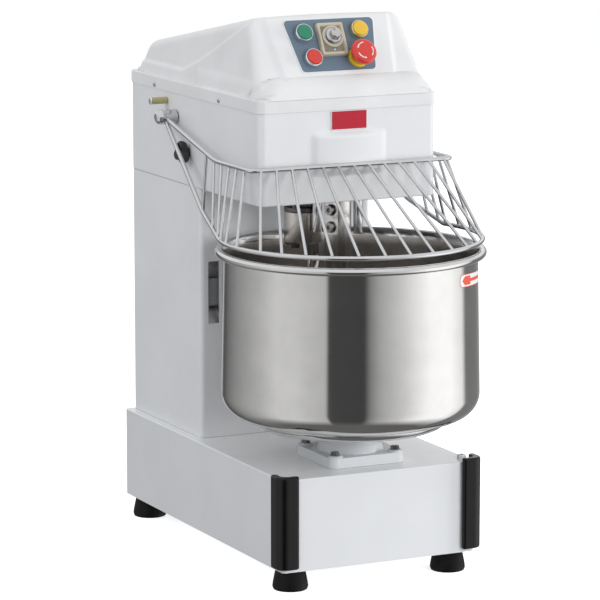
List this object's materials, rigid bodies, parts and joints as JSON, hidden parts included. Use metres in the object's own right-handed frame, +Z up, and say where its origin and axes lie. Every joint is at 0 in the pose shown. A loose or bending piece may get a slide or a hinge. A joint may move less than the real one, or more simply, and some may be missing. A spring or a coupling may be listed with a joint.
{
  "type": "spiral dough mixer",
  "caption": "Floor-standing commercial spiral mixer with a turning steel bowl, spiral hook, breaker bar, hinged wire bowl guard and sloping control panel.",
  "frame": {"origin": "on the floor, under the middle of the whole machine's box", "axes": "+Z up; -Y is the front where the bowl stands; +X is the right side for someone who faces the machine"},
  "size_m": [0.4064, 0.6887, 0.8352],
  "materials": {
    "white_paint": "smooth white enamel",
    "cover_plastic": "satin white moulding",
    "stainless": "polished stainless steel",
    "chrome": "bright plated wire and rings",
    "dark_steel": "dark machined steel",
    "rubber": "black, slightly shiny",
    "panel_grey": "satin blue grey",
    "green": "smooth",
    "red": "smooth",
    "yellow": "smooth",
    "beige": "satin",
    "motor_paint": "hammered enamel",
    "black_plastic": "satin"
  },
  "bodies": {
    "stand": {"base_housing": "white_paint", "base_bottom_plate": "white_paint", "foot_front_left": "rubber", "foot_front_right": "rubber", "foot_rear_left": "rubber", "foot_rear_right": "rubber", "bumper_left": "rubber", "bumper_right": "rubber", "cable_gland": "black_plastic", "column_housing": "white_paint", "slot_liner": "dark_steel", "rear_cover": "white_paint", "head_casing": "white_paint", "head_top_plate": "dark_steel", "top_cover": "cover_plastic", "control_plate": "panel_grey", "start_bezel": "chrome", "stop_bezel": "chrome", "jog_bezel": "chrome", "estop_collar": "yellow", "timer_bezel": "beige", "bowl_support": "white_paint", "bowl_bearing": "chrome", "hook_bearing": "dark_steel", "breaker_bar": "stainless", "breaker_screw_upper": "dark_steel", "breaker_screw_lower": "dark_steel", "bracket_post_left": "chrome", "bracket_post_right": "chrome", "stop_peg": "chrome", "stop_sleeve": "yellow", "motor": "motor_paint", "motor_plate": "dark_steel", "layshaft_bearing_upper": "dark_steel", "layshaft_bearing_lower": "dark_steel", "drive_belt": "rubber", "transfer_chain": "dark_steel", "bowl_chain": "dark_steel", "electrical_box": "black_plastic"},
    "bowl": {"bowl": "stainless", "bowl_shaft": "dark_steel", "bowl_sprocket": "dark_steel"},
    "hook": {"dough_hook": "stainless", "hook_spindle": "stainless", "hook_pulley": "dark_steel", "hook_sprocket": "dark_steel"},
    "layshaft": {"layshaft": "dark_steel", "layshaft_wheel": "dark_steel"},
    "motor_shaft": {"motor_pulley": "dark_steel"},
    "guard": {"guard_frame": "chrome", "guard_hub_left": "chrome", "guard_hub_right": "chrome", "guard_axle": "dark_steel"},
    "start_push": {"start_button": "green"},
    "stop_push": {"stop_button": "red"},
    "jog_push": {"jog_button": "yellow"},
    "estop_plunger": {"estop_stem": "black_plastic"},
    "estop_mushroom": {"estop_head": "red"},
    "timer_dial": {"timer_knob": "chrome"},
    "belt_knob": {"side_knob": "black_plastic"}
  },
  "joints": [
    {"name": "bowl_spin", "type": "hinge", "parent": "stand", "child": "bowl", "pos_m": [0, -0.141, 0.4947], "axis": [0, 0, 1], "continuous": true},
    {"name": "hook_spin", "type": "hinge", "parent": "stand", "child": "hook", "pos_m": [-0.016, -0.012, 0.533], "axis": [0, 0, 1], "continuous": true},
    {"name": "layshaft_spin", "type": "hinge", "parent": "stand", "child": "layshaft", "pos_m": [0.07, 0.13, 0.6725], "axis": [0, 0, 1], "continuous": true},
    {"name": "motor_spin", "type": "hinge", "parent": "stand", "child": "motor_shaft", "pos_m": [-0.01, 0.235, 0.621], "axis": [0, 0, 1], "continuous": true},
    {"name": "guard_tilt", "type": "hinge", "parent": "stand", "child": "guard", "pos_m": [0, 0.165, 0.664], "axis": [-1, 0, 0], "range_deg": [0, 148]},
    {"name": "start_press", "type": "slide", "parent": "stand", "child": "start_push", "axis": [0, 0.8746, -0.4848], "range_m": [0, 0.003], "stiffness_N_per_m": 400, "springref_m": -0.002},
    {"name": "stop_press", "type": "slide", "parent": "stand", "child": "stop_push", "axis": [0, 0.8746, -0.4848], "range_m": [0, 0.003], "stiffness_N_per_m": 400, "springref_m": -0.002},
    {"name": "jog_press", "type": "slide", "parent": "stand", "child": "jog_push", "axis": [0, 0.8746, -0.4848], "range_m": [0, 0.003], "stiffness_N_per_m": 400, "springref_m": -0.002},
    {"name": "estop_press", "type": "slide", "parent": "stand", "child": "estop_plunger", "axis": [0, 0.8746, -0.4848], "range_m": [0, 0.004], "stiffness_N_per_m": 800, "springref_m": -0.002},
    {"name": "estop_twist", "type": "hinge", "parent": "estop_plunger", "child": "estop_mushroom", "pos_m": [0.0351, -0.09441, 0.77145], "axis": [0, 0.8746, -0.4848], "range_deg": [0, 45], "stiffness_Nm_per_rad": 0.05, "springref_deg": -11.46},
    {"name": "timer_turn", "type": "hinge", "parent": "stand", "child": "timer_dial", "pos_m": [-0.002, -0.07831, 0.80048], "axis": [0, 0.8746, -0.4848], "range_deg": [0, 300]},
    {"name": "belt_knob_turn", "type": "hinge", "parent": "stand", "child": "belt_knob", "pos_m": [-0.147, 0.12, 0.613], "axis": [-1, 0, 0], "continuous": true}
  ],
  "couplings": [
    {"joint": "layshaft_spin", "follows": "bowl_spin", "ratio": 3.7778},
    {"joint": "hook_spin", "follows": "bowl_spin", "ratio": 9.8222},
    {"joint": "motor_spin", "follows": "bowl_spin", "ratio": 30.36}
  ]
}
